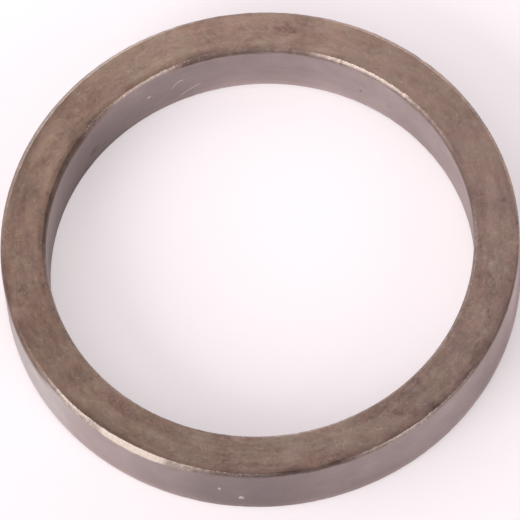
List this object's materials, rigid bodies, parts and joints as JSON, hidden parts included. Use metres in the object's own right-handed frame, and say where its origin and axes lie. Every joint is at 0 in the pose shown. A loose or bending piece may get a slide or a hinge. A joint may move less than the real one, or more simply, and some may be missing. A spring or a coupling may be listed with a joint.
{
  "type": "limiter ring",
  "caption": "Plain round steel limiter ring of rectangular section with ground flat faces, a through bore and softly rounded edges, used as a stop or spacer on a shaft.",
  "frame": {"origin": "centre of the ring's bottom face, on the bore axis", "axes": "+Z along the bore axis, out of the top face; X and Y lie in the bottom face and are free, because the ring is round"},
  "size_m": [0.034, 0.034, 0.005],
  "materials": {
    "ring_steel": "brown satin film on the faces, finely ground grey walls"
  },
  "bodies": {
    "root": {"limiter_ring": "ring_steel"}
  },
  "joints": []
}
